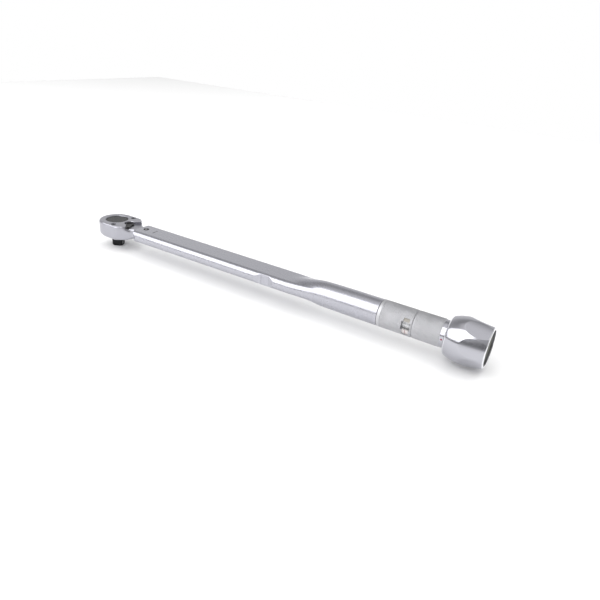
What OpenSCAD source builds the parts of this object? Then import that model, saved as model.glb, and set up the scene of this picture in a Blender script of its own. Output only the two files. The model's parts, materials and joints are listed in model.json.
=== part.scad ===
// Click type torque wrench, 1/2 inch square drive, adjustable.
// X runs from the ratchet head to the knob, Z is up, the drive square points down.
// The origin is on the drive square's axis at the height of the tube's axis.

/* [Head] */
// Radius of the round nose of the head
head_r = 22; // [21.6:0.1:22.6]
// Height of the head's flat top above the tube axis
head_top = 8.5; // [8.3:0.1:9]
// Depth of the head's underside below the tube axis
head_drop = 10.5; // [10.2:0.1:11]
// Radius of the round opening over the gear
opening_r = 13.8; // [13.7:0.1:14.2]
// Level of the sunk floor under the reversing lever
pocket_floor = 5.4; // [5.3:0.05:5.5]
// Distance from the drive axis to the lever and pawl axis
lever_x = 23; // [22.9:0.05:23.1]
// Distance from the drive axis to the pivot pin
pivot_x = 52; // [50:1:54]

/* [Ratchet drive] */
// Width of the drive square across its flats
square_w = 12.7; // [12.4:0.1:12.8]
// Length of the drive square below the head
square_l = 15.5; // [12:0.5:17]
// Angle of the drive square about its axis at rest
square_turn = 29; // [0:1:89]
// Number of teeth on the ratchet gear
gear_teeth = 36; // [36:36:72]
// Radius over the tips of the gear teeth
gear_tip_r = 16.6; // [16.5:0.1:16.7]
// Depth of the gear teeth
tooth_h = 1.4; // [1.2:0.1:1.4]

/* [Tube] */
// Radius of the round rear stretch of the tube
tube_r = 14; // [13.8:0.05:14.05]
// Wall thickness of the tube
tube_wall = 1.75; // [1.7:0.01:1.8]
// Half the thickness of the flattened front stretch
flat_t = 7.12; // [7.1:0.01:7.4]
// Half the width of the flattened front stretch
flat_w = 17.35; // [17:0.05:17.6]
// Where the flattened stretch begins to turn round
flat_end = 270; // [265:1:275]
// Where the tube is fully round
round_start = 326; // [318:1:328]

/* [Grip and knob] */
// Radius of the two knurled sleeves
sleeve_r = 14.15; // [14.1:0.05:14.6]
// Largest radius of the knob
knob_r = 23.05; // [22.5:0.05:23.6]
// Number of shallow finger facets around the knob
facets = 7; // [5:1:8]
// Radius of each facet's slight crown
crown_r = 55; // [45:5:80]
// How steeply each facet runs in towards the knob's end
facet_tilt = 7.2; // [6:0.2:8]

/* [Hidden] */
$fn = 72;
eps = 0.01;
chamfer_top = 1.2;
chamfer_low = 1.4;
corner_x = 18;
corner_r = 8;
corner_y = head_r - corner_r;
flank_turn = 38.2;
flank_l = 16;
neck_w = 8.6;
tube_x = 43;
tube_end = 374.8;
mark_x = pivot_x + 15;
neck_end = 42.3;
neck_t = flat_t - tube_wall - 0.13;
tang_w = 7;
tang_t = neck_t - 0.3;
roller_x = 215;
roller_r = 4;
notch_slope = 25;
notch_gap = 0.05;
thin_x = 200;
thin_t = 3.3;
gear_low = -7.4;
gear_top = 4.3;
plate_z = -8;
screw_x = 12;
screw_y = 16.4;
pin_r = 3.5;
screw_seat = 5.5;
screw_thread_r = 1.5;
plate_r = 20;
stem_r = 3;
rest_tilt = 6;
lever_turn = -55;
hub_r = 5.4;
tab_l = 15.5;
clip_z = 3.35;
lever_hole_z = -1.5;
pawl_low = -7.5;
pawl_h = 10.8;
ball_r = 1.9;
ball_out = 0.7;
ball_z = -head_drop - 10;
ball_turn = square_turn + 90;
square_tip = -head_drop - square_l;
side_y = flat_w - flat_t;
bore_t = flat_t - tube_wall;
tube_bore = tube_r - tube_wall;
crimp_y = 15;
crimp_x = 243;
crimp_half = 5.5;
crimp_run = 7;
rod_r = 4;
seat_x = 329;
spring_x = 332;
nut_x = 380;
housing_x = 375.05;
housing_pin_x = 368;
housing_pin_r = 1.2;
key_x = 386;
key_w = 3;
split_x = 411.6;
sleeve_end = 439.3;
drum_r = 10.1;
housing_bore = 10.5;
spindle_r = 6;
spindle_x = 352;
screw_hole_r = 2.5;
collar_x = 430;
dot_x = 441.5;
dot_r = 0.9;
oring_x = 449;
knob_x = 443.4;
knob_mid = 462;
front_arc = 40;
back_arc = 83;
knob_end = 483.2;
neck_r = 13.85;
web_x = 463;
lock_travel = 4;
boss_end = web_x - lock_travel - 0.05;
hex_w = 10;
hex_end = 468.2;
cap_x = 479.6;
spline_n = 24;
spline_x = 455;
window_x = 405.6;
window_half = 3.2;
window_low = -8.7;
window_high = 8.5;
pane_low = -3.4;
pane_high = 5.1;
pane_half = 4.65;

// Cylinder along +X between two stations
module rod(x0, x1, r) {
  translate([x0, 0, 0]) rotate([0, 90, 0]) cylinder(h = x1 - x0, r = r);
}

// Ring along +X between two stations
module ring(x0, x1, r_out, r_in) {
  difference() {
    rod(x0, x1, r_out);
    rod(x0 - 1, x1 + 1, r_in);
  }
}

// Bar with two half-round sides, the section of a flattened tube
module flat_bar(x0, x1, side, t) {
  translate([x0, -side, -t]) cube([x1 - x0, 2 * side, 2 * t]);
  for (s = [-1, 1])
    translate([0, s * side, 0]) rod(x0, x1, t);
}

// Flattened at one end and round at the other
module change_of_section(x0, x1, side, t, r) {
  hull() {
    for (s = [-1, 1])
      translate([0, s * side, 0]) rod(x0 - eps, x0, t, $fn = 48);
    rod(x1, x1 + eps, r, $fn = 48);
  }
}

// Coil of round wire along +X, drawn as the wire's slanting cross section twisted
module coil(x0, x1, mid_r, wire_r, turns, steps, half_points) {
  lead = atan((x1 - x0 - 2 * wire_r) / turns / (2 * PI * mid_r));
  spread = min(170, wire_r / sin(lead) / mid_r * 180 / PI);
  edge = [for (i = [-half_points:half_points]) i / half_points];
  outer = [for (u = edge) (mid_r + wire_r * sqrt(1 - u * u)) * [cos(u * spread), sin(u * spread)]];
  inner = [for (i = [2 * half_points - 1:-1:1]) let (u = edge[i])
    (mid_r - wire_r * sqrt(1 - u * u)) * [cos(u * spread), sin(u * spread)]];
  translate([x0, 0, 0]) rotate([0, 90, 0])
    linear_extrude(height = x1 - x0, twist = 360 * turns, slices = turns * steps, $fn = 8)
      polygon(concat(outer, inner));
}

// Toothed outline of the gear, a gap at angle 0
module gear_outline(grow) {
  pitch = 360 / gear_teeth;
  polygon([for (i = [0:gear_teeth - 1], k = [0, 1])
    (gear_tip_r + grow - (1 - k) * tooth_h) * [cos((i + k / 2) * pitch), sin((i + k / 2) * pitch)]]);
}

// Both dents, each a flat bottom with two sloping flanks
module crimps(y, grow) {
  half = crimp_half + grow;
  for (s = [-1, 1])
    scale([1, s, 1])
      translate([crimp_x, 0, -tube_r]) linear_extrude(2 * tube_r)
        polygon([[-half, y], [half, y], [half + crimp_run, y + 2.6],
          [half + crimp_run, tube_r + 10], [-half - crimp_run, tube_r + 10], [-half - crimp_run, y + 2.6]]);
}

// Plan of the tube's mouth with rounded corners
module mouth_plan() {
  mouth_r = 7;
  for (s = [-1, 1])
    translate([tube_x + mouth_r, s * (flat_w - mouth_r), -tube_r]) cylinder(h = 2 * tube_r, r = mouth_r);
  translate([tube_x, mouth_r - flat_w, -tube_r]) cube([2 * mouth_r, 2 * (flat_w - mouth_r), 2 * tube_r]);
  translate([tube_x + mouth_r, -flat_w - 1, -tube_r]) cube([flat_end, 2 * flat_w + 2, 2 * tube_r]);
}

module tube() {
  color("silver") difference() {
    union() {
      intersection() {
        flat_bar(tube_x, flat_end, side_y, flat_t);
        mouth_plan();
      }
      change_of_section(flat_end, round_start, side_y, flat_t, tube_r);
      rod(round_start, tube_end, tube_r);
    }
    difference() {
      union() {
        flat_bar(tube_x - 1, flat_end, side_y, bore_t);
        change_of_section(flat_end, round_start, side_y, bore_t, tube_bore);
        rod(round_start, tube_end + 1, tube_bore);
      }
      crimps(crimp_y - tube_wall, -0.6);
    }
    crimps(crimp_y, 0);
    translate([pivot_x, 0, -tube_r]) cylinder(h = 2 * tube_r, r = pin_r);
    translate([mark_x, 0, flat_t]) cube([0.8, 8.8, 0.6], center = true);
    translate([housing_pin_x, 0, -tube_r - 1]) cylinder(h = 4, r = housing_pin_r);
  }
}

module pivot_pin() {
  color("dimgray") translate([pivot_x, 0, 0]) difference() {
    cylinder(h = 2 * flat_t + 0.3, r = pin_r, center = true);
    for (s = [0, 1])
      mirror([0, 0, s]) translate([0, 0, flat_t - 0.6]) difference() {
        cylinder(h = 2, r = pin_r - 0.6);
        cylinder(h = 4, r = pin_r / 2, center = true);
      }
  }
}

module guide_block() {
  color("gray") difference() {
    flat_bar(crimp_x - 14, crimp_x + 14, side_y, bore_t - 0.12);
    crimps(crimp_y - tube_wall - 0.15, 0);
    rod(crimp_x - 20, crimp_x + 20, rod_r + 0.04);
  }
}

// The window's opening in the front sleeve, cut straight in from the side
module window_cut() {
  depth = tube_r;
  translate([window_x - window_half, -depth - 5, window_low])
    cube([2 * window_half, depth, window_high - window_low]);
  translate([window_x - pane_half, -depth - 5, pane_low])
    cube([2 * pane_half, depth, pane_high - pane_low]);
}

// Knurled stretch of a sleeve between two shallow grooves
module sleeve(x0, x1) {
  groove = 0.35;
  difference() {
    rod(x0, x1, sleeve_r);
    for (x = [x0, x1])
      ring(x - groove, x + groove, sleeve_r + 1, sleeve_r - 0.25);
  }
}

module front_housing() {
  color("lightgray") difference() {
    union() {
      rod(housing_x, housing_x + 3.65, sleeve_r);
      sleeve(housing_x + 3.6, split_x);
      rod(housing_x - 13, housing_x + 1, tube_bore - 0.05);
      rod(split_x - 1, split_x + 8.5, tube_bore);
    }
    rod(housing_x - 20, split_x + 20, housing_bore);
    window_cut();
    translate([key_x, 0, -housing_bore - 1]) cube([6.1, key_w + 0.1, 3.3], center = true);
    translate([housing_pin_x, 0, -tube_r - 1]) cylinder(h = 4, r = housing_pin_r);
  }
}

module rear_housing() {
  color("lightgray") difference() {
    sleeve(split_x + 0.1, sleeve_end);
    rod(split_x - 1, split_x + 8.7, tube_bore + 0.02);
    rod(split_x - 1, collar_x - 2.5, housing_bore);
    rod(collar_x - 3, collar_x, 7.5);
    rod(collar_x - 1, sleeve_end + 1, housing_bore);
  }
}

module neck_bush() {
  color("silver") difference() {
    union() {
      rod(collar_x + 5.6, sleeve_end + 1, housing_bore - 0.03);
      rod(sleeve_end + 0.05, spline_x, neck_r);
      rod(spline_x - 1, boss_end, 9.8);
    }
    rod(collar_x, spline_x + 10, spindle_r + 0.04);
    ring(oring_x, oring_x + 2.2, neck_r + 1, neck_r - 1.6);
    translate([dot_x, 1 - neck_r, 0]) rotate([90, 0, 0]) cylinder(h = 3, r = dot_r);
  }
}

module neck_oring() {
  color("black") ring(oring_x + 0.15, oring_x + 2.05, neck_r + 0.05, neck_r - 1.55);
}

module red_dot() {
  color("red") translate([dot_x, 1 - neck_r, 0]) rotate([90, 0, 0]) cylinder(h = 1.02, r = dot_r);
}

// Outside splines of the ring that holds the knob when it is pushed forward
module lock_ring() {
  pitch = 360 / spline_n;
  color("gray") difference() {
    translate([spline_x + 0.05, 0, 0]) rotate([0, 90, 0]) linear_extrude(boss_end - spline_x - 0.05)
      polygon([for (i = [0:spline_n - 1], k = [-0.34, -0.16, 0.16, 0.34])
        (abs(k) < 0.2 ? 13 : 12) * [cos((i + k) * pitch), sin((i + k) * pitch)]]);
    rod(spline_x - 1, spline_x + 6, 9.8);
  }
}

// Curved plate inside the window between two heights
module window_plate(low, high, half) {
  intersection() {
    ring(window_x - half, window_x + half, 13.3, 11.4);
    translate([window_x - half - 1, -sleeve_r, low]) cube([2 * half + 2, sleeve_r, high - low]);
  }
}

module unit_plate() {
  color("beige") window_plate(pane_high + 0.05, window_high - 0.05, window_half - 0.05);
}

module index_plate() {
  color("white") difference() {
    window_plate(window_low + 0.05, pane_low - 0.05, window_half - 0.05);
    index_line_shape(0);
  }
}

module index_line_shape(gap) {
  intersection() {
    ring(window_x - 0.2 - gap, window_x + 0.2 + gap, 13.3, 13.1);
    translate([window_x - 1, -sleeve_r, window_low + 0.05])
      cube([2, sleeve_r, pane_low - window_low - 0.1]);
  }
}

module index_line() {
  color("red") index_line_shape(0);
}

module window_lens() {
  color("white", 0.4) intersection() {
    ring(window_x - pane_half + 0.05, window_x + pane_half - 0.05, 12, 11.2);
    translate([window_x - pane_half, -sleeve_r, pane_low + 0.05])
      cube([2 * pane_half, sleeve_r, pane_high - pane_low - 0.1]);
  }
}

module thrust_washer() {
  color("gray") ring(collar_x - 1, collar_x - 0.05, 9.8, spindle_r + 0.3);
}

// Caged needle bearing that carries the spring's push on the spindle's collar
module thrust_bearing() {
  color("gray") difference() {
    ring(collar_x + 3.05, collar_x + 5.55, 9.8, spindle_r + 0.3);
    for (i = [0:15])
      rotate([i * 22.5, 0, 0]) translate([collar_x + 4.3, 0, 8.2]) cube([1, 0.9, 1.6], center = true);
  }
}

module drum_key() {
  color("gray") translate([key_x, 0, -housing_bore - 0.4]) cube([6, key_w, 2], center = true);
}

module housing_pin() {
  color("dimgray") translate([housing_pin_x, 0, -tube_r + 0.3]) cylinder(h = 2.6, r = housing_pin_r);
}

// Plan of the head behind its round nose: side, corner, slanting flank and neck
module head_shape() {
  step = 0.02;
  flat_r = corner_r - 0.03;
  side = [[6 - corner_r, -head_drop], [flat_r - chamfer_low, -head_drop],
    [flat_r, chamfer_low - head_drop], [flat_r, head_top - chamfer_top],
    [flat_r - chamfer_top, head_top], [6 - corner_r, head_top]];
  rotate_extrude() polygon([[0, -head_drop], [head_r - chamfer_low, -head_drop],
    [head_r, chamfer_low - head_drop], [head_r, head_top - chamfer_top],
    [head_r - chamfer_top, head_top], [0, head_top]]);
  for (s = [-1, 1]) scale([1, s, 1]) {
    translate([0, corner_y, 0]) rotate([90, 0, 90]) linear_extrude(corner_x) polygon(side);
    translate([corner_x, corner_y, 0]) rotate_extrude() polygon([[0, -head_drop],
      [corner_r - chamfer_low, -head_drop], [corner_r, chamfer_low - head_drop],
      [corner_r, head_top - chamfer_top], [corner_r - chamfer_top, head_top], [0, head_top]]);
    translate([corner_x, corner_y, 0]) rotate([0, 0, -flank_turn])
      rotate([90, 0, 90]) linear_extrude(flank_l) polygon(side);
  }
  translate([0, 0, step - head_drop]) linear_extrude(head_drop + head_top - 2 * step)
    polygon([[0, -corner_y], [corner_x, -corner_y], [34, -7], [34, 7], [corner_x, corner_y], [0, corner_y]]);
  translate([0, 0, 2 * step - head_drop]) linear_extrude(head_drop + pocket_floor)
    polygon([[corner_x, -12], [29, -12], [35.5, -10.4], [38.3, -9.2], [41.5, -neck_w], [45, -neck_w],
      [45, neck_w], [41.5, neck_w], [38.3, 9.2], [35.5, 10.4], [29, 12], [corner_x, 12]]);
}

// Room above the sunk floor: both wings open away from the lever's hub
module lever_pocket() {
  translate([0, 0, pocket_floor]) {
    linear_extrude(head_top)
      polygon([[16.8, 0], [41.2, -24.7], [60, -24.7], [60, 24.7], [41.2, 24.7]]);
    translate([lever_x, 0, 0]) cylinder(h = head_top, r = hub_r + 1.2);
  }
}

module head_body() {
  slope_x = 29.3;
  slope = 22;
  color("silver") difference() {
    union() {
      difference() {
        head_shape();
        lever_pocket();
        translate([slope_x, -30, -head_drop]) rotate([0, -slope, 0])
          translate([0, 0, -20]) cube([60, 60, 20]);
        translate([neck_end - 0.1, -30, neck_t]) cube([20, 60, 20]);
        translate([neck_end - 0.1, -30, -20 - neck_t]) cube([20, 60, 20]);
      }
      translate([neck_end, -tang_w, -tang_t]) cube([thin_x - neck_end, 2 * tang_w, 2 * tang_t]);
      translate([thin_x - 1, -tang_w, -thin_t]) cube([roller_x - thin_x, 2 * tang_w, 2 * thin_t]);
    }
    tang_notch();
    translate([0, 0, -20]) cylinder(h = 40, r = opening_r);
    translate([0, 0, -head_drop - 1]) cylinder(h = head_drop + gear_top + 1.3, r = gear_tip_r + 0.6);
    translate([0, 0, head_top - 0.6]) cylinder(h = 0.7, r1 = opening_r, r2 = opening_r + 0.7);
    translate([0, 0, -head_drop - 1]) linear_extrude(head_drop + 4.9)
      polygon([[6, -13.4], [19, -13.4], [27.4, -5.5], [27.4, 5.5], [19, 13.4], [6, 13.4]]);
    translate([lever_x, 0, 0]) cylinder(h = 20, r = stem_r + 0.04);
    translate([0, 0, -head_drop - 1]) linear_extrude(head_drop + 1 + plate_z) plate_outline(0.05);
    for (s = [-1, 1]) translate([screw_x, s * screw_y, 0]) {
      translate([0, 0, screw_seat]) cylinder(h = 10, r = 3.2);
      cylinder(h = 40, r = screw_thread_r + 0.05, center = true);
    }
    translate([pivot_x, 0, -20]) cylinder(h = 40, r = pin_r + 0.03);
  }
}

// V shaped seat in the end of the tang for the roller
module tang_notch() {
  vertex = roller_x - (roller_r + notch_gap) / cos(notch_slope);
  reach = 12;
  translate([vertex, 0, -20]) linear_extrude(40)
    polygon([[0, 0], [reach * tan(notch_slope), -reach], [reach + 20, -reach], [reach + 20, reach],
      [reach * tan(notch_slope), reach]]);
}

module plate_outline(grow) {
  r = plate_r + grow;
  circle(r = r);
  polygon([[0, -r], [17 + grow, -r], [28.6 + grow, -10.5 - grow],
    [28.6 + grow, 10.5 + grow], [17 + grow, r], [0, r]]);
}

module cover_plate() {
  color("silver") translate([0, 0, -head_drop]) difference() {
    linear_extrude(head_drop + plate_z) plate_outline(0);
    translate([0, 0, -1]) cylinder(h = 10, r = 10.3);
    for (s = [-1, 1]) translate([screw_x, s * screw_y, -1]) cylinder(h = 10, r = screw_thread_r);
  }
}

module cover_screw(side) {
  color("#303034") translate([screw_x, side * screw_y, 0]) difference() {
    union() {
      translate([0, 0, screw_seat]) cylinder(h = 2.1, r = 2.9);
      translate([0, 0, 0.2 - head_drop]) cylinder(h = 6 + head_drop, r = screw_thread_r);
    }
    translate([0, 0, 6.2]) cylinder(h = 3, r = 1.5, $fn = 6);
  }
}

module cover_screw_near() {
  cover_screw(-1);
}

module cover_screw_far() {
  cover_screw(1);
}

module gear_washer() {
  color("gray") translate([0, 0, plate_z + 0.05]) difference() {
    cylinder(h = 0.45, r = 16);
    translate([0, 0, -1]) cylinder(h = 3, r = 10.4);
  }
}

// Gear, its collar and the drive square, one piece
module drive_gear() {
  end_chamfer = 1.2;
  corner_cut = 8.35;
  color("#26262a") difference() {
    union() {
      translate([0, 0, gear_low]) linear_extrude(gear_top - gear_low) gear_outline(0);
      translate([0, 0, gear_top - 1]) cylinder(h = 4.4, r = opening_r - 0.3);
      translate([0, 0, -head_drop]) cylinder(h = head_drop, r = 10);
      intersection() {
        translate([0, 0, square_tip]) rotate([0, 0, square_turn])
          translate([-square_w / 2, -square_w / 2, 0]) cube([square_w, square_w, square_l + 1]);
        union() {
          translate([0, 0, square_tip])
            cylinder(h = end_chamfer, r1 = corner_cut - end_chamfer, r2 = corner_cut);
          translate([0, 0, square_tip + end_chamfer]) cylinder(h = square_l, r = corner_cut);
        }
      }
    }
    translate([0, 0, ball_z]) rotate([0, 0, ball_turn])
      rotate([0, 90, 0]) cylinder(h = 20, r = ball_r + 0.03);
  }
}

module detent_ball() {
  reach = square_w / 2 + ball_out - ball_r;
  color("silver") translate([0, 0, ball_z]) rotate([0, 0, ball_turn])
    translate([reach, 0, 0]) sphere(r = ball_r);
}

module detent_spring() {
  color("gray") translate([0, 0, ball_z]) rotate([0, 0, ball_turn])
    coil(0.8, square_w / 2 + ball_out - 2 * ball_r + 0.05,
      mid_r = 1.2, wire_r = 0.25, turns = 3, steps = 12, half_points = 5);
}

module reversing_lever() {
  hub_top = 7.1;
  color("#202024") translate([lever_x, 0, 0]) difference() {
    union() {
      rotate_extrude() polygon([[0, pocket_floor + 0.1], [hub_r, pocket_floor + 0.1], [hub_r, hub_top - 0.5],
        [hub_r - 0.5, hub_top], [0, hub_top]]);
      rotate([0, 0, lever_turn]) translate([0, 0, pocket_floor + 0.15]) linear_extrude(1.4)
        polygon([[0, -4.2], [tab_l - 0.8, -1.7], [tab_l, -0.9], [tab_l, 0.9], [tab_l - 0.8, 1.7], [0, 4.2]]);
      rotate([0, 0, lever_turn]) translate([tab_l - 3.4, 0, pocket_floor + 0.4]) cylinder(h = 1.8, r = 1.2);
      translate([0, 0, -7.7]) cylinder(h = pocket_floor + 8, r = stem_r);
    }
    translate([0, 0, hub_top - 0.5]) cylinder(h = 1, r = hub_r - 1.6);
    translate([0, 0, clip_z]) difference() {
      cylinder(h = 0.55, r = 5);
      translate([0, 0, -1]) cylinder(h = 3, r = 2.4);
    }
    translate([0, 0, lever_hole_z]) rotate([0, 0, lever_turn + 180]) translate([-2.2, 0, 0])
      rotate([0, 90, 0]) cylinder(h = 10, r = 1.05);
  }
}

module lever_plunger() {
  color("silver") translate([lever_x, 0, lever_hole_z]) rotate([0, 0, lever_turn + 180]) {
    rotate([0, 90, 0]) translate([0, 0, 0.6]) cylinder(h = 2.9, r = 1);
    translate([3.4, 0, 0]) sphere(r = 1, $fn = 48);
  }
}

module lever_spring() {
  color("gray") translate([lever_x, 0, lever_hole_z]) rotate([0, 0, lever_turn + 180])
    coil(-2.15, 0.58, mid_r = 0.7, wire_r = 0.18, turns = 4, steps = 10, half_points = 4);
}

module lever_clip() {
  color("gray") translate([lever_x, 0, clip_z + 0.05]) difference() {
    cylinder(h = 0.45, r = 4);
    translate([0, 0, -1]) cylinder(h = 3, r = 2.4);
    rotate([0, 0, lever_turn]) translate([0, -2, -1]) cube([8, 4, 3]);
  }
}

// Two winged rocker; one wing or the other sits in the gear, and its teeth clear the
// gear's at every step of the rock between them
module pawl() {
  wing = [[17.9, 0], [14.68, 3.93], [12.45, 8.72], [16, 12], [24, 4.2]];
  other = [for (i = [4:-1:1]) [wing[i][0], -wing[i][1]]];
  color("gray") translate([lever_x, 0, 0]) rotate([0, 0, -rest_tilt]) difference() {
    translate([-lever_x, 0, pawl_low]) union() {
      linear_extrude(pawl_h) polygon(concat(wing, other));
      translate([lever_x, 0, 0]) cylinder(h = pawl_h, r = 4.3);
    }
    for (share = [-1:0.25:1])
      rotate([0, 0, share * rest_tilt]) translate([-lever_x, 0, -20])
        linear_extrude(40) gear_outline(0.17);
    translate([0, 0, -20]) cylinder(h = 40, r = stem_r + 0.05);
    translate([0, 0, -3]) rotate_extrude(angle = 144, start = 108) square([4.6, 3]);
  }
}

module plunger() {
  fork_x = roller_x - 2.8;
  color("gray") difference() {
    union() {
      translate([fork_x, -rod_r, 0.2 - bore_t]) cube([10, 2 * rod_r, 2 * bore_t - 0.4]);
      translate([roller_x + 4.6, -6, 0.2 - bore_t]) cube([5.4, 12, 2 * bore_t - 0.4]);
      rod(roller_x + 9, seat_x - 3, rod_r);
    }
    translate([fork_x - 1, -10, -thin_t - 0.3]) cube([8.2, 20, 2 * thin_t + 0.6]);
    translate([roller_x, 0, -20]) cylinder(h = 40, r = 1.55);
  }
}

module roller() {
  color("silver") translate([roller_x, 0, 0]) difference() {
    cylinder(h = 2 * thin_t, r = roller_r, center = true);
    cylinder(h = 20, r = 1.55, center = true);
  }
}

module roller_axle() {
  color("gray") translate([roller_x, 0, 0]) cylinder(h = 2 * bore_t - 0.5, r = 1.5, center = true);
}

module spring_seat() {
  color("gray") difference() {
    union() {
      rod(seat_x - 3, seat_x + 2.9, tube_bore - 0.3);
      rod(seat_x + 2, seat_x + 8, 6);
    }
    rod(seat_x - 4, seat_x - 3 + eps, rod_r);
  }
}

module main_spring() {
  color("#404048") coil(spring_x, nut_x,
    mid_r = 8.5, wire_r = 1.75, turns = 6.5, steps = 16, half_points = 6);
}

// Threaded spindle with its thrust collar and the hex the knob slides on
module spindle() {
  color("gray") difference() {
    union() {
      rod(spindle_x, spline_x, spindle_r);
      rod(spindle_x - 1.5, spindle_x + eps, spindle_r - 1.2);
      rod(collar_x, collar_x + 3, 9);
      translate([spline_x - 0.5, 0, 0]) rotate([0, 90, 0])
        cylinder(h = hex_end - spline_x + 0.5, r = hex_w / sqrt(3), $fn = 6);
    }
    rod(457, 470, screw_hole_r);
  }
}

module end_screw() {
  color("gray") difference() {
    union() {
      rod(457.1, 468.5, screw_hole_r);
      rod(hex_end + 0.02, 471, 7.5);
    }
    translate([469.2, 0, 0]) rotate([0, 90, 0]) cylinder(h = 5, r = 2.9, $fn = 6);
  }
}

module adjuster_nut() {
  color("gray") difference() {
    rod(nut_x + 0.02, nut_x + 12, drum_r);
    rod(nut_x - 1, nut_x + 20, spindle_r + 0.05);
    ring(nut_x + 4, nut_x + 20, drum_r + 1, drum_r - 1.2);
    drum_slot();
  }
}

// Groove that the key runs in while the drum slides
module drum_slot() {
  translate([key_x - 16, -key_w / 2 - 0.1, -housing_bore - 3]) cube([40, key_w + 0.2, 4.4]);
}

module scale_drum() {
  color("white") difference() {
    ring(nut_x + 4.02, 418, drum_r, drum_r - 1.2);
    drum_slot();
  }
}

// How far an arc has fallen away at a distance from its highest point
function arc_drop(dx, r) = r - sqrt(r * r - dx * dx);

// What is cut away outside one facet: a block less the facet's crown
module facet_cut() {
  facet_x = knob_mid - 3;
  facet_d = knob_r - arc_drop(knob_mid - facet_x, front_arc);
  block_y = 8;
  half_w = 12;
  translate([facet_x, -facet_d, 0]) rotate([0, 0, facet_tilt]) difference() {
    translate([-10, -block_y, -half_w]) cube([45, block_y + 1.4, 2 * half_w]);
    translate([-11, crown_r, 0]) rotate([0, 90, 0]) cylinder(h = 47, r = crown_r, $fn = 360);
  }
}

module knob() {
  first_facet = -13.2;
  pitch = 360 / spline_n;
  color("silver") difference() {
    rotate([0, 90, 0]) rotate([0, 0, 90]) rotate_extrude($fn = 96)
      knob_profile();
    for (i = [0:facets - 1])
      rotate([first_facet - i * 360 / facets, 0, 0]) facet_cut();
    rod(knob_x - 1, 459.2, 13.95);
    translate([459.1, 0, 0]) rotate([0, 90, 0]) linear_extrude(web_x - 459.1)
      polygon([for (i = [0:spline_n - 1], k = [-0.36, -0.24, 0.24, 0.36])
        (abs(k) < 0.3 ? 13.3 : 12.15) * [cos((i + k) * pitch), sin((i + k) * pitch)]]);
    translate([460, 0, 0]) rotate([0, 90, 0]) cylinder(h = 10, r = (hex_w + 0.1) / sqrt(3), $fn = 6);
    rod(468, knob_end + 1, 15);
    rod(cap_x, knob_end + 1, 17.6);
  }
}

// Outline of the knob: two long arcs meeting at its widest point
module knob_profile() {
  steps = 8;
  front_run = 16.4;
  back_run = 20.64;
  front = [for (i = [0:steps]) let (x = (i / steps - 1) * front_run)
    [knob_r - arc_drop(x, front_arc), knob_mid + x]];
  back = [for (i = [1:steps]) let (x = i / steps * back_run) [knob_r - arc_drop(x, back_arc), knob_mid + x]];
  polygon(concat([[0, knob_x], [15, knob_x], [18.4, 444.5]], front, back,
    [[19.9, knob_end], [0, knob_end]]));
}

module end_cap() {
  color("#3a3d30") rod(cap_x + 0.05, 481.2, 17.55);
}

tube();
pivot_pin();
guide_block();
front_housing();
rear_housing();
neck_bush();
lock_ring();
unit_plate();
index_plate();
index_line();
window_lens();
red_dot();
thrust_washer();
thrust_bearing();
drum_key();
housing_pin();
neck_oring();
head_body();
cover_plate();
cover_screw_near();
cover_screw_far();
gear_washer();
drive_gear();
detent_ball();
detent_spring();
reversing_lever();
lever_plunger();
lever_spring();
lever_clip();
pawl();
plunger();
roller();
roller_axle();
spring_seat();
main_spring();
spindle();
end_screw();
adjuster_nut();
scale_drum();
knob();
end_cap();
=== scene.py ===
"""Looks of the torque wrench: its shaped pieces, their materials, and the studio it is shown in."""

import itertools
import json
import math

import bmesh
import bpy
import numpy as np
from mathutils import Matrix, Vector


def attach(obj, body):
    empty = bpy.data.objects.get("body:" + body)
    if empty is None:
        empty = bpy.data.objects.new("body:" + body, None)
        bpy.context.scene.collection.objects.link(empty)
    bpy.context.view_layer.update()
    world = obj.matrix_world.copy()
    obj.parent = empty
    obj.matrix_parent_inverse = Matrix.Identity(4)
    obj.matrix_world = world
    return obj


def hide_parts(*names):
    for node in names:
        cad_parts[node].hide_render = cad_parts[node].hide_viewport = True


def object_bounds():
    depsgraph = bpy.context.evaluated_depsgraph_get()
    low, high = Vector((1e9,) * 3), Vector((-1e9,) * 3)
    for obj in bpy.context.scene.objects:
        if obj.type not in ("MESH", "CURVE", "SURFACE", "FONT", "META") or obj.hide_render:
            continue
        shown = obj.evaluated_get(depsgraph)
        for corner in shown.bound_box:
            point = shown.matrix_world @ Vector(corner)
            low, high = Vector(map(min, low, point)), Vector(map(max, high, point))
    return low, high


MM = 0.001
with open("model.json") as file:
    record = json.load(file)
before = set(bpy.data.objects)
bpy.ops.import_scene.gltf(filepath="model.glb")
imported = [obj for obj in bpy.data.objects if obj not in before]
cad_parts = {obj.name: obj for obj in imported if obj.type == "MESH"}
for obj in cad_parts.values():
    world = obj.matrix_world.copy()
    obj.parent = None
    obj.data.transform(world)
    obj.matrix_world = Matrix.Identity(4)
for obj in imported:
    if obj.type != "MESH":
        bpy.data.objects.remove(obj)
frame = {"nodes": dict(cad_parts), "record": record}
nodes = frame["nodes"]
cad_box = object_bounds()


# ---------------------------------------------------------------- materials


def new_material(name):
    """A material with its node tree, its Principled shader and a helper that adds nodes."""
    m = bpy.data.materials.new(name)
    m.use_nodes = True
    tree = m.node_tree
    shader = tree.nodes["Principled BSDF"]

    def add(kind, **values):
        node = tree.nodes.new(kind)
        for key, value in values.items():
            if hasattr(node, key):
                setattr(node, key, value)
            else:
                node.inputs[key.replace("_", " ")].default_value = value
        return node

    return m, tree, shader, add


def ramp(add, stops):
    """A colour ramp with these (place, grey or colour) stops."""
    node = add("ShaderNodeValToRGB")
    while len(node.color_ramp.elements) < len(stops):
        node.color_ramp.elements.new(0.5)
    for element, (place, colour) in zip(node.color_ramp.elements, stops):
        element.position = place
        rgb = colour if isinstance(colour, tuple) else (colour,) * 3
        element.color = (*rgb, 1)
    return node


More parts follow.
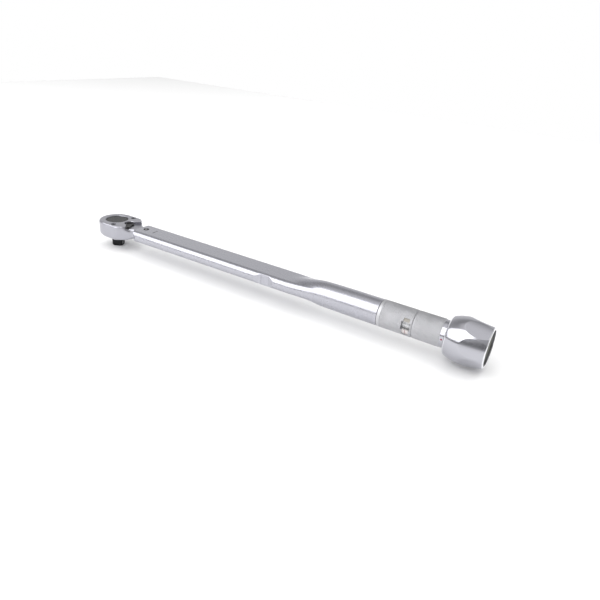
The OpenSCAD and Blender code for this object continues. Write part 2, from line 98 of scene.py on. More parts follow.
def metal(name, colour, rough, rough_spread=0.05, grain=(1, 1, 1), grain_scale=900, bump=0.02,
          edge=0.0, mottle=0.06, edge_from=0.51, edge_to=0.58, metallic=1.0, shine=0.5):
    """Plated, ground or blackened metal: fine grain, uneven gloss, and edges lightened in colour, which is
    wear and, where a finish sets a strong edge, a painted highlight.
    """
    m, tree, shader, add = new_material(name)
    link = tree.links.new
    shader.inputs["Metallic"].default_value = metallic
    shader.inputs["Specular IOR Level"].default_value = shine
    place = add("ShaderNodeTexCoord")
    stretch = add("ShaderNodeMapping")
    stretch.inputs["Scale"].default_value = grain
    link(place.outputs["Object"], stretch.inputs["Vector"])
    fine = add("ShaderNodeTexNoise", Scale=grain_scale, Detail=4.0, Roughness=0.6)
    link(stretch.outputs[0], fine.inputs["Vector"])
    cloud = add("ShaderNodeTexNoise", Scale=90.0, Detail=3.0)
    link(place.outputs["Object"], cloud.inputs["Vector"])
    gloss = ramp(add, [(0.3, max(0.02, rough - rough_spread)), (0.7, rough + rough_spread)])
    both = add("ShaderNodeMix", data_type="FLOAT")
    both.inputs[0].default_value = 0.5
    link(fine.outputs["Fac"], both.inputs[2])
    link(cloud.outputs["Fac"], both.inputs[3])
    link(both.outputs[0], gloss.inputs["Fac"])
    link(gloss.outputs["Color"], shader.inputs["Roughness"])
    dark = tuple(c * (1 - mottle) for c in colour)
    light = tuple(min(1, c * (1 + mottle)) for c in colour)
    tint = ramp(add, [(0.3, dark), (0.7, light)])
    link(both.outputs[0], tint.inputs["Fac"])
    if edge:
        # Pointed edges are lightened in colour: wear, and with a strong edge value a painted highlight.
        geometry = add("ShaderNodeNewGeometry")
        edge_wear_and_highlight = ramp(add, [(edge_from, 0.0), (edge_to, 1.0)])
        link(geometry.outputs["Pointiness"], edge_wear_and_highlight.inputs["Fac"])
        mix = add("ShaderNodeMix", data_type="RGBA")
        link(edge_wear_and_highlight.outputs["Color"], mix.inputs[0])
        link(tint.outputs["Color"], mix.inputs[6])
        mix.inputs[7].default_value = (*(min(1, c + edge) for c in colour), 1)
        link(mix.outputs[2], shader.inputs["Base Color"])
    else:
        link(tint.outputs["Color"], shader.inputs["Base Color"])
    relief = add("ShaderNodeBump", Strength=bump, Distance=0.0002)
    link(fine.outputs["Fac"], relief.inputs["Height"])
    link(relief.outputs["Normal"], shader.inputs["Normal"])
    return m


def plastic(name, colour, rough, bump=0.05, scale=1500.0):
    """Moulded or painted surface with a faint grain and uneven gloss."""
    m, tree, shader, add = new_material(name)
    link = tree.links.new
    place = add("ShaderNodeTexCoord")
    fine = add("ShaderNodeTexNoise", Scale=scale, Detail=3.0)
    link(place.outputs["Object"], fine.inputs["Vector"])
    dark = tuple(c * 0.93 for c in colour)
    light = tuple(min(1, c * 1.05) for c in colour)
    tint = ramp(add, [(0.3, dark), (0.7, light)])
    link(fine.outputs["Fac"], tint.inputs["Fac"])
    link(tint.outputs["Color"], shader.inputs["Base Color"])
    gloss = ramp(add, [(0.3, rough - 0.05), (0.7, rough + 0.06)])
    link(fine.outputs["Fac"], gloss.inputs["Fac"])
    link(gloss.outputs["Color"], shader.inputs["Roughness"])
    relief = add("ShaderNodeBump", Strength=bump, Distance=0.0002)
    link(fine.outputs["Fac"], relief.inputs["Height"])
    link(relief.outputs["Normal"], shader.inputs["Normal"])
    return m


def clear_pane(name):
    """Thin clear window with faint smears."""
    m, tree, shader, add = new_material(name)
    shader.inputs["Base Color"].default_value = (0.95, 0.97, 0.97, 1)
    shader.inputs["Alpha"].default_value = 0.1
    place = add("ShaderNodeTexCoord")
    smear = add("ShaderNodeTexNoise", Scale=300.0, Detail=2.0)
    tree.links.new(place.outputs["Object"], smear.inputs["Vector"])
    gloss = ramp(add, [(0.4, 0.04), (0.7, 0.14)])
    tree.links.new(smear.outputs["Fac"], gloss.inputs["Fac"])
    tree.links.new(gloss.outputs["Color"], shader.inputs["Roughness"])
    return m


ALL_WAYS = (1, 1, 1)
CHROME = (0.47, 0.47, 0.51)
BRUSHED_CHROME = {"rough_spread": 0.03, "grain": (0.2, 1, 1), "grain_scale": 1800, "bump": 0.012,
                  "mottle": 0.02}

finishes = {
    "satin_chrome": metal("satin_chrome", (0.46, 0.46, 0.505), 0.27, 0.03, (0.06, 1, 1), 2600, 0.012,
                          edge=0.08, mottle=0.025),
    "polished_chrome": metal("polished_chrome", CHROME, 0.17, **BRUSHED_CHROME),
    "knurled_silver": metal("knurled_silver", (0.48, 0.48, 0.50), 0.55, 0.06, ALL_WAYS, 900, 0.25,
                            edge=0.15, mottle=0.2),
    "black_steel": metal("black_steel", (0.006, 0.006, 0.007), 0.3, 0.06, ALL_WAYS, 900, 0.1,
                         edge=0.02, metallic=0.0, shine=0.2),
    "dark_steel": metal("dark_steel", (0.02, 0.02, 0.022), 0.35, 0.08, ALL_WAYS, 900, 0.1, edge=0.15),
    "plain_steel": metal("plain_steel", (0.42, 0.42, 0.44), 0.3, 0.06, (0.1, 1, 1), 900, 0.06, edge=0.15),
    "brass_nut": metal("brass_nut", (0.55, 0.38, 0.14), 0.3, 0.06, (0.1, 1, 1), 900, 0.06, edge=0.1),
    "white_plastic": plastic("white_plastic", (0.64, 0.60, 0.59), 0.5),
    "beige_plastic": plastic("beige_plastic", (0.32, 0.30, 0.27), 0.55),
    "olive_plastic": plastic("olive_plastic", (0.035, 0.037, 0.022), 0.5),
    "clear_lens": clear_pane("clear_lens"),
    "red_paint": plastic("red_paint", (0.24, 0.006, 0.03), 0.35),
    "black_rubber": plastic("black_rubber", (0.012, 0.012, 0.012), 0.7),
}
# The head is forged and rougher than the tube, and the knob's facets get painted highlight lines along
# their edges.
forged_chrome = metal("forged_chrome", (0.42, 0.42, 0.46), 0.34, 0.04, ALL_WAYS, 1500, 0.03,
                      edge=0.06, mottle=0.04)
# Strong, narrow lightening of the knob's facet edges: painted highlight lines.
knob_chrome = metal("knob_chrome", CHROME, 0.17, edge=0.4, edge_from=0.505, edge_to=0.525,
                    **BRUSHED_CHROME)
# Nodes that are darker than the rest of their slot: the cover screws get black steel, and the pivot pin is
# painted black as painted shade of its hole.
PAINTED = {"pivot_pin": "black_steel", "cover_screw_near": "black_steel", "cover_screw_far": "black_steel"}
slot_of = {s["node"]: s["material_slot"] for s in frame["record"]["subparts"]}

for node_name, obj in nodes.items():
    obj.data.materials.clear()
    obj.data.materials.append(finishes[PAINTED.get(node_name, slot_of[node_name])])


# ------------------------------------------------------------- mesh helpers


def piece_from(name, points, faces, slot, body, replaced=(), crease=35, finish=None):
    """New piece from points in millimetres, in the part's frame, riding on that body."""
    mesh = bpy.data.meshes.new(name)
    mesh.from_pydata((np.asarray(points, float) * MM).tolist(), [], [tuple(map(int, f)) for f in faces])
    mesh.update()
    made = bmesh.new()
    made.from_mesh(mesh)
    bmesh.ops.remove_doubles(made, verts=made.verts, dist=1e-7)
    bmesh.ops.recalc_face_normals(made, faces=made.faces)
    made.to_mesh(mesh)
    made.free()
    mesh.polygons.foreach_set("use_smooth", [True] * len(mesh.polygons))
    mesh.set_sharp_from_angle(angle=math.radians(crease))
    obj = bpy.data.objects.new(name, mesh)
    bpy.context.scene.collection.objects.link(obj)
    mesh.materials.append(finish or finishes[slot])
    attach(obj, body)
    if replaced:
        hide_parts(*replaced)
    return obj


def loft(rings, closed_ends=False):
    """Points and faces of a skin through rings of points; each ring is a closed loop."""
    rings = np.asarray(rings, float)
    count, size = rings.shape[:2]
    start = np.arange(count)[:, None] * size
    here = np.arange(size)[None, :]
    step = (here + 1) % size
    low, high = start[:-1], start[1:]
    faces = np.stack([low + here, low + step, high + step, high + here], -1).reshape(-1, 4).tolist()
    if closed_ends:
        faces += [list(range(size)), list(range((count - 1) * size, count * size))]
    return rings.reshape(-1, 3), faces


def around(count):
    """Angles round the tube's axis, 0 at the front and 90 degrees at the top."""
    return np.arange(count) * 2 * math.pi / count


def ring_at(x, radius, angles):
    """Ring of points round the tube's axis."""
    return np.stack([np.full_like(angles, 1.0) * x, -radius * np.cos(angles), radius * np.sin(angles)], -1)


def smooth(value, low, high):
    """0 below low, 1 above high, and a soft step between."""
    t = np.clip((value - low) / (high - low), 0, 1)
    return t * t * (3 - 2 * t)


def soft_min(a, b, width):
    """The smaller of two, blended over width."""
    h = np.clip(0.5 + 0.5 * (b - a) / width, 0, 1)
    return b * (1 - h) + a * h - width * h * (1 - h)


def cut(obj, cutter):
    """Cuts cutter out of obj for good, and removes cutter."""
    tool = obj.modifiers.new("cut", "BOOLEAN")
    tool.object = cutter
    tool.solver = "EXACT"
    bpy.context.view_layer.update()
    done = bpy.data.meshes.new_from_object(obj.evaluated_get(bpy.context.evaluated_depsgraph_get()))
    obj.modifiers.clear()
    obj.data = done
    done.set_sharp_from_angle(angle=math.radians(35))
    bpy.data.objects.remove(cutter)


def block(low, high):
    """Plain box between two corners in millimetres, used only as a cutter."""
    made = bmesh.new()
    bmesh.ops.create_cube(made, size=1)
    low, high = np.array(low, float), np.array(high, float)
    for v in made.verts:
        v.co = Vector(((low + high) / 2 + np.array(v.co) * (high - low)) * MM)
    mesh = bpy.data.meshes.new("cutter")
    made.to_mesh(mesh)
    made.free()
    obj = bpy.data.objects.new("cutter", mesh)
    bpy.context.scene.collection.objects.link(obj)
    return obj


def peg(place, radius, length, sides=64):
    """Upright round cutter."""
    made = bmesh.new()
    bmesh.ops.create_cone(made, cap_ends=True, segments=sides, radius1=radius * MM, radius2=radius * MM,
                          depth=length * MM, matrix=Matrix.Translation(Vector(place) * MM))
    mesh = bpy.data.meshes.new("cutter")
    made.to_mesh(mesh)
    made.free()
    obj = bpy.data.objects.new("cutter", mesh)
    bpy.context.scene.collection.objects.link(obj)
    return obj


# --------------------------------------------------- solids from a field


def net(field, low, high, step):
    """Points and quads of the surface where field(points) is 0, pulled exactly onto it."""
    axes = [np.arange(a, b + step, step) for a, b in zip(low, high)]
    grid = np.stack(np.meshgrid(*axes, indexing="ij"), -1)
    inside = field(grid) < 0
    size = np.array(inside.shape)
    total = np.zeros(size - 1, int)
    for i, j, k in itertools.product((0, 1), repeat=3):
        total += inside[i:size[0] - 1 + i, j:size[1] - 1 + j, k:size[2] - 1 + k]
    cell = (total > 0) & (total < 8)
    number = np.full(cell.shape, -1)
    number[cell] = np.arange(cell.sum())
    where = np.argwhere(cell)
    points = np.array(low) + (where + 0.5) * step
    centre = points.copy()
    nudge = 0.02 * step
    for _ in range(8):
        value = field(points)
        slope = np.stack([(field(points + nudge * e) - field(points - nudge * e)) / (2 * nudge)
                          for e in np.eye(3)], -1)
        points -= slope * (value / np.maximum((slope ** 2).sum(-1), 0.05))[:, None]
        points = np.clip(points, centre - 0.75 * step, centre + 0.75 * step)
    faces = []
    for axis in range(3):
        a = np.moveaxis(inside, axis, 0)
        n = np.moveaxis(number, axis, 0)
        change = a[:-1, 1:-1, 1:-1] != a[1:, 1:-1, 1:-1]
        at = np.argwhere(change)
        i, j, k = at[:, 0], at[:, 1] + 1, at[:, 2] + 1
        quad = np.stack([n[i, j - 1, k - 1], n[i, j, k - 1], n[i, j, k], n[i, j - 1, k]], -1)
        faces.append(quad)
    return points, np.concatenate(faces)


def disc_field(p, centre, radius, low, high, rounding=0.0):
    """Distance to an upright round disc with rounded edges."""
    d = np.hypot(p[..., 0] - centre[0], p[..., 1] - centre[1]) - (radius - rounding)
    h = np.abs(p[..., 2] - (low + high) / 2) - ((high - low) / 2 - rounding)
    return np.hypot(np.maximum(d, 0), np.maximum(h, 0)) + np.minimum(np.maximum(d, h), 0) - rounding


def outline_field(x, y, corners):
    """Signed distance to a closed outline of straight pieces, negative inside."""
    best = np.full(x.shape, 1e9)
    inside = np.zeros(x.shape, bool)
    for (ax, ay), (bx, by) in zip(corners, corners[1:] + corners[:1]):
        ex, ey = bx - ax, by - ay
        wx, wy = x - ax, y - ay
        t = np.clip((wx * ex + wy * ey) / (ex * ex + ey * ey), 0, 1)
        best = np.minimum(best, (wx - ex * t) ** 2 + (wy - ey * t) ** 2)
        crosses = (ay > y) != (by > y)
        if ey:
            inside ^= crosses & (x < ax + ex * (y - ay) / ey)
    return np.where(inside, -1, 1) * np.sqrt(best)


def upright(plan, z, low, high, rounding):
    """Distance to a plan drawn up between two heights, its edges rounded."""
    h = np.abs(z - (low + high) / 2) - ((high - low) / 2 - rounding)
    d = plan + rounding
    return np.hypot(np.maximum(d, 0), np.maximum(h, 0)) + np.minimum(np.maximum(d, h), 0) - rounding


# ------------------------------------------------------------------- head

NOSE_R, HEAD_TOP, HEAD_LOW = 22, 8.5, -10.5
POCKET_Z, LEVER_X, PIVOT_X = 5.4, 23, 52
CORNER_X, CORNER_R, FLANK = 18, 8, math.radians(38.2)
NECK_T, NECK_FROM = 5.24, 42.2
TANG_T = NECK_T - 0.3
POCKET_R = 6.6
PIN_R = 3.5
SCREW_X, SCREW_Y, SCREW_R, RECESS_R, RECESS_Z = 12, 16.4, 1.55, 3.2, 5.5
SCOOP, SCOOP_R = (42, 21.5, 11), 15.2
DISC_R, GEAR_BORE_R, GEAR_TOP = 13.8, 17.2, 4.6
CHAMBER_TOP, PLATE_R, PLATE_TOP, STEM_R = 3.9, 20.05, -8, 3.04
TOP_EDGE, LOW_EDGE = 2.3, 1.3
SWEEP_X, SWEEP = 29.3, math.radians(22)
FAR = 20


def head_plan():
    """Half outlines of the head: round nose, straight side, corner, slanting flank and neck."""
    nose = [(-NOSE_R * math.cos(a), NOSE_R * math.sin(a)) for a in np.linspace(0, math.pi / 2, 31)]
    corner = [(CORNER_X + CORNER_R * math.sin(a), NOSE_R - CORNER_R + CORNER_R * math.cos(a))
              for a in np.linspace(0, FLANK, 8)]
    half = nose + corner + [(34.9, 10.9), (37, 9.6), (39, 8.95), (41.5, 8.6), (47, 8.6)]
    return half + [(x, -y) for x, y in reversed(half[1:])]


HEAD_PLAN = head_plan()
POCKET_PLAN = [(16.8, 0), (41.2, -24.7), (60, -24.7), (60, 24.7), (41.2, 24.7)]


def mirrored(half):
    """Closed outline from the half of it on the -Y side, listed from front to back."""
    return half + [(x, -y) for x, y in reversed(half)]


CHAMBER_PLAN = mirrored([(6, -13.4), (19, -13.4), (27.4, -5.5)])
PLATE_PLAN = mirrored([(0, -PLATE_R), (17.05, -PLATE_R), (28.65, -10.55)])


def head_field(p):
    """The head and neck: negative inside the metal."""
    x, y, z = p[..., 0], p[..., 1], p[..., 2]
    plan = outline_field(x, y, HEAD_PLAN)
    body = np.maximum(upright(plan, z, HEAD_LOW, 30, LOW_EDGE), upright(plan, z, -30, HEAD_TOP, TOP_EDGE))
    under = (HEAD_LOW + np.maximum(0, x - SWEEP_X) * math.tan(SWEEP) - z) * math.cos(SWEEP)
    body = -soft_min(-body, -under, 4)
    body = np.where(x > NECK_FROM, np.maximum(body, np.abs(z) - NECK_T), body)
    hollow = outline_field(x, y, POCKET_PLAN)
    hollow = soft_min(hollow, np.hypot(x - LEVER_X, y) - POCKET_R, 0.6)
    pocket = np.maximum(hollow, POCKET_Z - z)
    body = -soft_min(-body, pocket, 0.8)
    body = -soft_min(-body, disc_field(p, (0, 0), DISC_R, 4, FAR), 0.9)
    body = np.maximum(body, -disc_field(p, (0, 0), GEAR_BORE_R, -FAR, GEAR_TOP))
    body = np.maximum(body, -np.maximum(outline_field(x, y, CHAMBER_PLAN), z - CHAMBER_TOP))
    plate = np.minimum(outline_field(x, y, PLATE_PLAN), np.hypot(x, y) - PLATE_R)
    body = np.maximum(body, -np.maximum(plate, z - PLATE_TOP))
    body = np.maximum(body, -disc_field(p, (LEVER_X, 0), STEM_R, 0, FAR))
    for side in (-1, 1):
        scoop = np.linalg.norm(p - np.array(SCOOP) * (1, side, 1), axis=-1) - SCOOP_R
        body = -soft_min(-body, scoop, 1.2)
        screw = (SCREW_X, side * SCREW_Y)
        body = np.maximum(body, -disc_field(p, screw, SCREW_R, -FAR, FAR))
        body = -soft_min(-body, disc_field(p, screw, RECESS_R, RECESS_Z, FAR), 0.4)
    return np.maximum(body, -disc_field(p, (PIVOT_X, 0), PIN_R + 0.03, -FAR, FAR))


def tang():
    """The long flat bar from the neck to the roller, with its notched end."""
    start, taper, wide, thin, notch = 45, 200, 7, 3.3, 210.54
    tip = notch + wide * math.tan(math.radians(25))
    plan = [(start, -wide), (taper, -wide), (tip, -wide), (notch, 0), (tip, wide), (taper, wide),
            (start, wide)]
    rings = []
    for z in (-TANG_T, TANG_T):
        rings.append([(x, y, z if x <= taper else math.copysign(thin, z)) for x, y in plan])
    return loft(rings, closed_ends=True)


head_step = 0.42
head_skin = net(head_field, (-23, -23, -11.5), (47.5, 23, 9.5), head_step)
piece_from("ratchet_head", *head_skin, "satin_chrome", "head", ["head_body"], finish=forged_chrome)
piece_from("head_tang", *tang(), "satin_chrome", "head")

# ------------------------------------------------------------------- tube

FLAT_W, SIDE_W, FLAT_T, TUBE_R, WALL = 11.36, 6.0, 7.12, 14.0, 1.75
TUBE_X, TUBE_END = 43, 374.8
MOUTH_R = 7
DENT_DEPTH, DENT_FROM, DENT_TO = 2.4, (229.5, 237.5), (248.5, 256.5)
PANEL_DEPTH, RIB_HEIGHT, RIB_PITCH = 0.5, 0.1, 1.6
MARK_X, MARK_HALF, MARK_WIDE, MARK_DEPTH = PIVOT_X + 15, 4.4, 0.65, 0.3


def flat_radius(angles, inset):
    """Distance from the axis to the flattened section, at each angle."""
    c, s = np.abs(np.cos(angles)), np.maximum(np.abs(np.sin(angles)), 1e-9)
    t, w = FLAT_T - inset, SIDE_W - inset
    on_flat = t / s
    a = (c / w) ** 2 + (s / t) ** 2
    b = -2 * c * FLAT_W / w ** 2
    k = (FLAT_W / w) ** 2 - 1
    on_side = (-b + np.sqrt(np.maximum(b * b - 4 * a * k, 0))) / (2 * a)
    return np.where(on_flat * c <= FLAT_W, on_flat, on_side)


def tube_ring(x, angles, inset):
    """Section of the tube: flattened in front, dented at the guide, round behind."""
    part = 0.93 * smooth(x, 266, 313) + 0.07 * smooth(x, 300, 345)
    radius = flat_radius(angles, inset) * (1 - part) + (TUBE_R - inset) * part
    ring = ring_at(x, radius, angles)
    dent = DENT_DEPTH * (smooth(x, *DENT_FROM) - smooth(x, *DENT_TO))
    panel = smooth(x, 237.4, 237.9) - smooth(x, 248.1, 248.6)
    limit = FLAT_W + SIDE_W - inset - dent - PANEL_DEPTH * panel
    if dent > 0.01:
        y = ring[:, 1]
        rib = RIB_HEIGHT * math.sin(x * 2 * math.pi / RIB_PITCH) * panel
        ring[:, 1] = np.sign(y) * soft_min(np.abs(y), limit + rib, 0.4)
    return ring


def tube_mouth(ring, inset):
    """How far back each point of the tube's mouth lies, so that its front corners are round."""
    side = np.maximum(0, np.abs(ring[:, 1]) - (FLAT_W + SIDE_W - inset - MOUTH_R))
    return MOUTH_R - np.sqrt(np.maximum(MOUTH_R ** 2 - side ** 2, 0))


def make_tube():
    """The tube's skin, outside and inside, with a groove for the cross line on its top."""
    flat_top = np.arctan2(FLAT_T, np.linspace(FLAT_W, 0, 26))
    side = np.linspace(0, flat_top[0], 14)[:-1]
    quarter = np.concatenate([side, flat_top])
    angles = np.concatenate([quarter, math.pi - quarter[-2::-1], math.pi + quarter[1:],
                             2 * math.pi - quarter[-2:0:-1]])
    length = TUBE_END - TUBE_X
    mark = MARK_X - TUBE_X
    stations = np.concatenate([
        [0, 0.25, 0.8, 2, 4, 7, 10], np.arange(14, 23, 3),
        [mark - MARK_WIDE - 0.1, mark - MARK_WIDE, mark + MARK_WIDE, mark + MARK_WIDE + 0.1],
        np.arange(28, 180, 8), np.arange(184, 218, 0.25), np.arange(220, 305, 2),
        [310, 320, 330, length - 0.3, length]])
    inner_stations = np.concatenate([[0, 0.8, 4, 10], np.arange(20, 180, 20), np.arange(184, 218, 2),
                                     np.arange(220, 305, 5), [330, length]])
    outside, inside = [], []
    for s in stations:
        ring = tube_ring(TUBE_X + s, angles, 0)
        ring[:, 0] += tube_mouth(ring, 0) * (1 - smooth(s, 0, 20))
        edge = 0.25 * (s == 0) + 0.25 * (s == stations[-1])
        ring[:, 1:] *= (1 - edge / np.linalg.norm(ring[:, 1:], axis=1))[:, None]
        if abs(s - mark) < MARK_WIDE + 0.05:
            ring[(np.abs(ring[:, 1]) < MARK_HALF) & (ring[:, 2] > 7), 2] -= MARK_DEPTH
        outside.append(ring)
    for s in inner_stations[::-1]:
        ring = tube_ring(TUBE_X + s, angles, WALL)
        ring[:, 0] += tube_mouth(ring, 0) * (1 - smooth(s, 0, 20))
        inside.append(ring)
    return loft(outside + inside + outside[:1])


tube = piece_from("wrench_tube", *make_tube(), "satin_chrome", "frame_tube", ["tube"])
cut(tube, peg((PIVOT_X, 0, 0), PIN_R + 0.02, 40))

# -------------------------------------------------------- knurled sleeves

SLEEVE_R, NECK_IN_R, BORE_R = 14.15, 12.27, 10.5
KNURLS, KNURL_HEIGHT, KNURL_FLAT, VALLEY = 44, 0.5, 0.8, 0.36


def knurl(x, angles, start, end):
    """Height of a fine diamond knurl, fading out at both ends of its stretch."""
    pitch = 2 * math.pi * SLEEVE_R / KNURLS
    turn = angles * KNURLS / (2 * math.pi)
    a, b = (turn + x / pitch) % 1, (turn - x / pitch) % 1
    peak = np.minimum(1 - np.abs(2 * a - 1), 1 - np.abs(2 * b - 1))
    fade = smooth(x, start, start + 0.5) * (1 - smooth(x, end - 0.5, end))
    return KNURL_HEIGHT * np.minimum(peak, KNURL_FLAT) * fade


def make_sleeve(front, knurl_from, knurl_to, back):
    """Skin of revolution: plain parts in front and behind, and a knurled stretch between."""
    angles = around(360)
    rings = [ring_at(x, r, angles) for x, r in front]
    for x in np.arange(knurl_from, knurl_to + 0.01, 0.25):
        rings.append(ring_at(x, SLEEVE_R - VALLEY + knurl(x, angles, knurl_from, knurl_to), angles))
    rings += [ring_at(x, r, angles) for x, r in back]
    return loft(rings + rings[:1])


FRONT_END = [(362.05, BORE_R), (362.05, 12.2), (375.05, 12.2), (375.05, 13.55), (375.5, SLEEVE_R),
             (378.5, SLEEVE_R), (378.7, 13.9)]
FRONT_BACK = [(411.6, 13.25), (411.6, 12.25), (420.1, 12.25), (420.1, BORE_R)]
REAR_FRONT = [(427.5, 7.5), (427.5, BORE_R), (420.3, BORE_R), (420.3, NECK_IN_R), (411.7, NECK_IN_R),
              (411.7, 13.25)]
REAR_END = [(439.3, 13.7), (439.3, BORE_R), (429.0, BORE_R), (429.0, 7.5)]

front_skin = make_sleeve(FRONT_END, 378.8, 411.2, FRONT_BACK)
rear_skin = make_sleeve(REAR_FRONT, 412.1, 439.0, REAR_END)
front_sleeve = piece_from("front_sleeve", *front_skin, "knurled_silver", "frame_tube", ["front_housing"])
piece_from("rear_sleeve", *rear_skin, "knurled_silver", "frame_tube", ["rear_housing"])
# The window: a tall opening for the two plates, crossed by a wider one for the lens.
cut(front_sleeve, block((402.4, -19, -8.7), (408.8, -5, 8.5)))
cut(front_sleeve, block((400.95, -19, -3.4), (410.25, -5, 5.1)))

# ---------------------------------------------- scale, mark and pin centre

DRUM_R, MARK_LIFT, TEXT_SIZE = 10.1, 0.06, 2.7
FIRST_NUMBER_X, NUMBER_STEP = 387.6, 5.0
LONG_LINE, SHORT_LINE, LINE_WIDE = -3.2, -2.0, 0.14
NUMBERS = ("40", "80", "120", "160", "200", "240")


def on_drum(points):
    """Wraps flat points (along the drum, up, outward) onto the drum's front."""
    along, up, out = np.asarray(points, float).T
    angle, radius = up / DRUM_R, DRUM_R + out
    return np.stack([along, -radius * np.cos(angle), radius * np.sin(angle)], -1)


def strip(x0, x1, up0, up1):
    """Thin painted bar on the drum between two stations and two heights."""
    sunk, bevel = -0.02, 0.03
    rings = [[(x0, h, sunk), (x1, h, sunk), (x1 - bevel, h, MARK_LIFT), (x0 + bevel, h, MARK_LIFT)]
             for h in np.linspace(up0, up1, 10)]
    points, faces = loft(rings, closed_ends=True)
    return on_drum(points), faces


def digits(number, x):
    """Points and faces of a number on the drum, in Blender's own plain letters."""
    curve = bpy.data.curves.new("number", "FONT")
    curve.body, curve.size, curve.align_x, curve.extrude = number, TEXT_SIZE, "CENTER", 0.04
    holder = bpy.data.objects.new("number", curve)
    mesh = bpy.data.meshes.new_from_object(holder)
    points = np.array([v.co for v in mesh.vertices]) + (x, 1.1, 0.02)
    faces = [tuple(f.vertices) for f in mesh.polygons]
    bpy.data.objects.remove(holder)
    return on_drum(points), faces


def make_marks():
    """Numbers with a long line under each, and short lines between."""
    parts = [digits(number, FIRST_NUMBER_X + i * NUMBER_STEP) for i, number in enumerate(NUMBERS)]
    for i in range(4 * len(NUMBERS)):
        x = FIRST_NUMBER_X + i * NUMBER_STEP / 4
        low = LONG_LINE if i % 4 == 0 else SHORT_LINE
        parts.append(strip(x - LINE_WIDE, x + LINE_WIDE, low, 0.2))
    points, faces, start = [], [], 0
    for part_points, part_faces in parts:
        points.append(part_points)
        faces += [tuple(start + v for v in f) for f in part_faces]
        start += len(part_points)
    return np.concatenate(points), faces


def make_drum():
    """Scale drum with softened ends."""
    angles = around(128)
    profile = [(384.02, 8.9), (384.02, 9.9), (384.22, DRUM_R), (417.8, DRUM_R), (418, 9.9), (418, 8.9)]
    rings = [ring_at(x, r, angles) for x, r in profile]
    return loft(rings + rings[:1])


drum = piece_from("marked_drum", *make_drum(), "plain_steel", "scale", ["scale_drum"])
cut(drum, block((370, -1.6, -13.5), (410, 1.6, -9.1)))
piece_from("scale_marks", *make_marks(), "black_steel", "scale")


def small_dome(centre, radius, height, facing):
    """Shallow round boss standing on a flat face."""
    angles = around(40)
    rings = []
    for t in np.radians((0, 15, 35, 55, 75, 88)):
        r, z = radius * math.cos(t), centre[2] + facing * height * math.sin(t)
        rings.append([(centre[0] + r * math.cos(a), centre[1] + r * math.sin(a), z) for a in angles])
    return loft(rings, closed_ends=True)


DOME_R, DOME_HEIGHT, DOME_LIFT = 1.5, 0.2, 0.14
for facing, name in ((1, "pin_centre_top"), (-1, "pin_centre_low")):
    dome = small_dome((PIVOT_X, 0, facing * (FLAT_T + DOME_LIFT)), DOME_R, DOME_HEIGHT, facing)
    piece_from(name, *dome, "plain_steel", "frame_tube")


def etched_line():
    """Dark filling of the cross line cut in the tube's top."""
    half, low, high = MARK_HALF - 0.05, FLAT_T - MARK_DEPTH + 0.02, FLAT_T - 0.03
    narrow = 0.4
    ends = ((-half, narrow), (-half + 0.2, MARK_WIDE), (half - 0.2, MARK_WIDE), (half, narrow))
    rings = [[(MARK_X - w, y, low), (MARK_X + w, y, low), (MARK_X + w, y, high), (MARK_X - w, y, high)]
             for y, w in ends]
    return loft(rings, closed_ends=True)


piece_from("etched_line", *etched_line(), "black_steel", "frame_tube")

# ------------------------------------------------------------------- knob

KNOB_R, KNOB_MID, FRONT_ARC, BACK_ARC = 23.05, 462, 40, 83
FACETS, FIRST_FACET = 7, math.radians(13.2)
FACET_X, FACET_D, FACET_TILT, CROWN_R = 459, 22.94, math.radians(7.2), 55
KNOB_FROM, KNOB_END, LIP_R, MOUTH_BORE, CAP_SEAT_R, WEB_HOLE_R = 445.3, 482.4, 0.8, 13.95, 17.6, 5.8


def knob_skin(x):
    """Radius of the knob before its facets are cut."""
    d = x - KNOB_MID
    arc = FRONT_ARC if d < 0 else BACK_ARC
    return KNOB_R - (arc - math.sqrt(arc * arc - d * d))


def faceted(x, angles):
    """Radius of the knob round one section, with its seven slightly crowned facets."""
    radius = np.full_like(angles, knob_skin(x))
    back = CROWN_R - (FACET_D - (x - FACET_X) * math.tan(FACET_TILT))
    for k in range(FACETS):
        off = (angles - FIRST_FACET - k * 2 * math.pi / FACETS + math.pi) % (2 * math.pi) - math.pi
        facet = -back * np.cos(off) + np.sqrt(CROWN_R ** 2 - (back * np.sin(off)) ** 2)
        facet = np.where(np.abs(off) < 0.6, facet, 99)
        radius = np.where(facet < radius + 0.5, soft_min(radius, facet, 0.06), radius)
    return radius


def make_knob():
    """The knob's skin: its open mouth, faceted barrel, rounded lip, cap seat and inner web."""
    angles = around(560)
    mouth = [(459.2, MOUTH_BORE), (443.7, MOUTH_BORE), (443.4, 14.2), (443.4, 14.9), (443.6, 16.2),
             (444.0, 17.6), (444.4, 18.4), (444.8, 18.95)]
    rings = [ring_at(x, r, angles) for x, r in mouth]
    for x in np.concatenate([np.arange(KNOB_FROM, 455, 0.5), np.arange(455, KNOB_END - 0.09, 0.4)]):
        rings.append(ring_at(x, np.maximum(faceted(x, angles), 17.9), angles))
    last = np.linalg.norm(rings[-1][:, 1:], axis=1)
    for turn in np.radians((25, 50, 75, 90)):
        radius = last - LIP_R * (1 - math.cos(turn))
        rings.append(ring_at(KNOB_END + LIP_R * math.sin(turn), radius, angles))
    inside = [(483.2, 17.8), (483.0, CAP_SEAT_R), (479.6, CAP_SEAT_R), (479.6, 15), (468, 15),
              (468, WEB_HOLE_R), (463, WEB_HOLE_R), (463, 13.3), (459.2, 13.3)]
    rings += [ring_at(x, r, angles) for x, r in inside]
    return loft(rings + rings[:1])


piece_from("fluted_knob", *make_knob(), "polished_chrome", "grip_knob", ["knob"], finish=knob_chrome)

# ------------------------------------------------------------------- studio


def aim(obj, place, target):
    """Puts obj at place, looking at target."""
    obj.location = place
    obj.rotation_euler = (Vector(target) - Vector(place)).to_track_quat("-Z", "Y").to_euler()


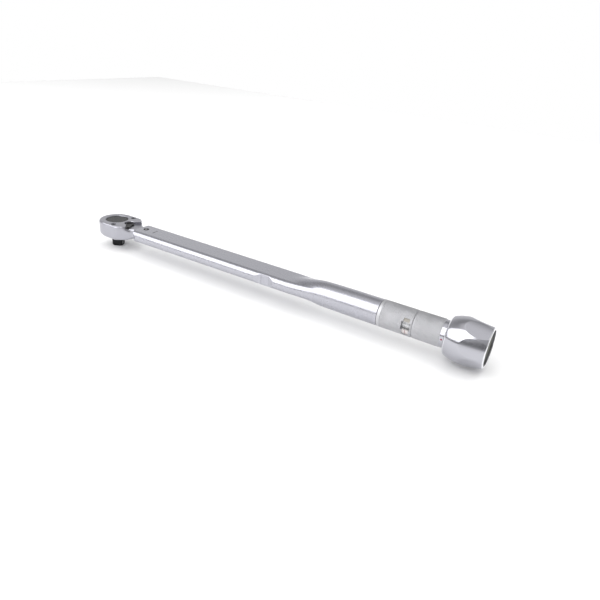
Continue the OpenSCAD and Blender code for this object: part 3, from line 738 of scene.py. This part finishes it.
def softbox(name, place, target, width, height, power):
    """Rectangular area light."""
    data = bpy.data.lights.new(name, "AREA")
    data.shape = "RECTANGLE"
    data.size, data.size_y, data.energy = width, height, power
    lamp = bpy.data.objects.new(name, data)
    bpy.context.scene.collection.objects.link(lamp)
    aim(lamp, place, target)
    return lamp


floor_z = cad_box[0][2]
floor_left, floor_right, floor_half = -1.6, 2.1, 1.7
floor_corners = [(floor_left, -floor_half, floor_z), (floor_right, -floor_half, floor_z),
                 (floor_right, floor_half, floor_z), (floor_left, floor_half, floor_z)]
floor_mesh = bpy.data.meshes.new("floor")
floor_mesh.from_pydata(floor_corners, [], [(0, 1, 2, 3)])
floor = bpy.data.objects.new("floor", floor_mesh)
bpy.context.scene.collection.objects.link(floor)
pale_floor, _, pale_shader, _ = new_material("pale_floor")
pale_shader.inputs["Base Color"].default_value = (0.9, 0.9, 0.9, 1)
pale_shader.inputs["Roughness"].default_value = 0.9
floor_mesh.materials.append(pale_floor)


def studio_world():
    """White below the floor's level, pale walls behind, and a dark gap under the front light."""
    w = bpy.data.worlds.new("studio")
    w.use_nodes = True
    tree = w.node_tree
    link = tree.links.new

    def add(kind, **values):
        node = tree.nodes.new(kind)
        for key, value in values.items():
            setattr(node, key, value)
        return node

    split = add("ShaderNodeSeparateXYZ")
    link(add("ShaderNodeTexCoord").outputs["Generated"], split.inputs[0])
    behind = ramp(add, [(0.0, 1.0), (0.07, 1.0), (0.14, 0.79), (0.45, 0.85), (0.68, 0.48), (0.85, 0.4),
                        (0.97, 1.0)])
    before = ramp(add, [(0.0, 1.0), (0.004, 0.15), (0.2, 0.18), (0.5, 0.45), (0.85, 0.6), (0.97, 1.0)])
    turn = add("ShaderNodeMapRange")
    turn.inputs["From Min"].default_value = -0.25
    turn.inputs["From Max"].default_value = 0.25
    link(split.outputs["Y"], turn.inputs["Value"])
    mix = add("ShaderNodeMix", data_type="RGBA")
    link(split.outputs["Z"], behind.inputs["Fac"])
    link(split.outputs["Z"], before.inputs["Fac"])
    link(turn.outputs[0], mix.inputs[0])
    link(before.outputs["Color"], mix.inputs[6])
    link(behind.outputs["Color"], mix.inputs[7])
    link(mix.outputs[2], tree.nodes["Background"].inputs["Color"])
    return w


bpy.context.scene.world = studio_world()
bpy.context.scene.view_settings.view_transform = "Standard"

# The front light ends at the knob, whose rear then reflects the darker room.
front_x, front_reach, front_tilt = -1.03, 2.0, math.radians(41)
front_place = (front_x, -front_reach * math.cos(front_tilt), front_reach * math.sin(front_tilt))
softbox("front_box", front_place, (front_x, 0, 0), 3.26, 2.4, 59.5)
# The second light only keeps the far floor white, so the metal doesn't reflect it.
fill_x, fill_y, fill_height, fill_size = 0.9, 1.3, 2.0, 3.4
fill = softbox("fill_box", (fill_x, fill_y, fill_height), (fill_x, fill_y, 0), fill_size, fill_size, 42)
fill.visible_glossy = False

camera_place = Vector((0.54086, -0.46371, 0.24640))
right = Vector((0.84964, 0.52138, 0.0792))
up = Vector((-0.29335, 0.34245, 0.89257))
camera_data = bpy.data.cameras.new("camera")
camera_data.sensor_width = 36
camera_data.lens = 32.7
camera = bpy.data.objects.new("camera", camera_data)
turned = Matrix((right, up, right.cross(up))).transposed().to_4x4()
camera.matrix_world = Matrix.Translation(camera_place) @ turned
bpy.context.scene.collection.objects.link(camera)
bpy.context.scene.camera = camera
